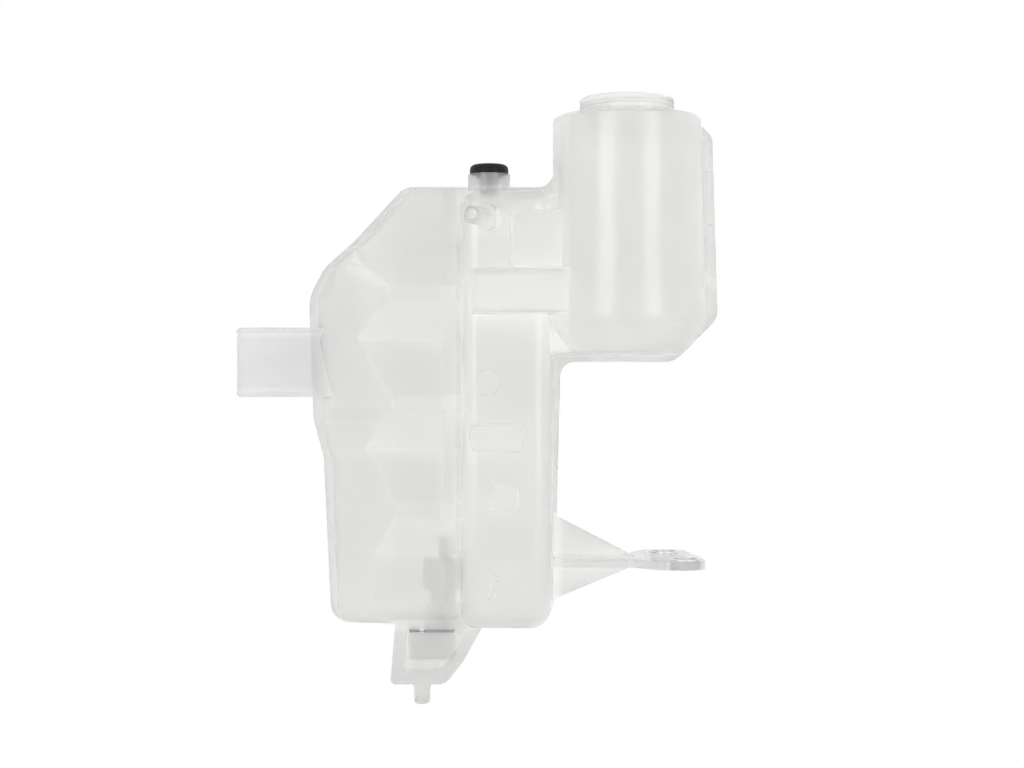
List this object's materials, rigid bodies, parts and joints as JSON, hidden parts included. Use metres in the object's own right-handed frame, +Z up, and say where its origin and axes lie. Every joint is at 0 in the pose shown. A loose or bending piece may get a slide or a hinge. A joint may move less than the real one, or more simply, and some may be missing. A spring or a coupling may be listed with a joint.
{
  "type": "coolant expansion tank",
  "caption": "Welded see-through plastic coolant expansion tank with a threaded filler neck, bleed screw, level sensor, hose nipples and mounting arm, tongue and peg.",
  "frame": {"origin": "on the axis of the locating peg under the tank, where the peg's straight part starts", "axes": "+Z up along the peg, towards the filler neck; -Y towards the front with the hose nipple; +X towards the filler chamber and the bolted arm"},
  "size_m": [0.2855, 0.1437, 0.3536],
  "materials": {
    "tank_plastic": "milky, see-through, satin",
    "black_plastic": "satin",
    "seal_rubber": "matte",
    "bush_steel": "plated",
    "float_foam": "matte",
    "magnet": "matte",
    "reed_glass": "clear",
    "pin_brass": "plain"
  },
  "bodies": {
    "tank": {"front_shell": "tank_plastic", "rear_shell": "tank_plastic", "filler_neck": "tank_plastic", "bracket_bush_front": "bush_steel", "bracket_bush_rear": "bush_steel", "sensor_housing": "black_plastic", "sensor_seal": "seal_rubber", "float_clip": "bush_steel", "reed_switch": "reed_glass", "sensor_pins": "pin_brass"},
    "bleed_ring": {"bleed_seal": "seal_rubber"},
    "bleed_plug": {"bleed_screw": "black_plastic"},
    "level_float": {"sensor_float": "float_foam", "float_magnet": "magnet"}
  },
  "joints": [
    {"name": "bleed_lift", "type": "slide", "parent": "tank", "child": "bleed_ring", "axis": [0, 0, 1], "range_m": [0, 0.006]},
    {"name": "bleed_turn", "type": "hinge", "parent": "bleed_ring", "child": "bleed_plug", "pos_m": [0.04, -0.016, 0.3035], "axis": [0, 0, 1], "range_deg": [0, 1080]},
    {"name": "float_rise", "type": "slide", "parent": "tank", "child": "level_float", "axis": [0, 0, 1], "range_m": [0, 0.0115]}
  ],
  "couplings": [
    {"joint": "bleed_lift", "follows": "bleed_turn", "m_per_rad": 0.0003183}
  ]
}
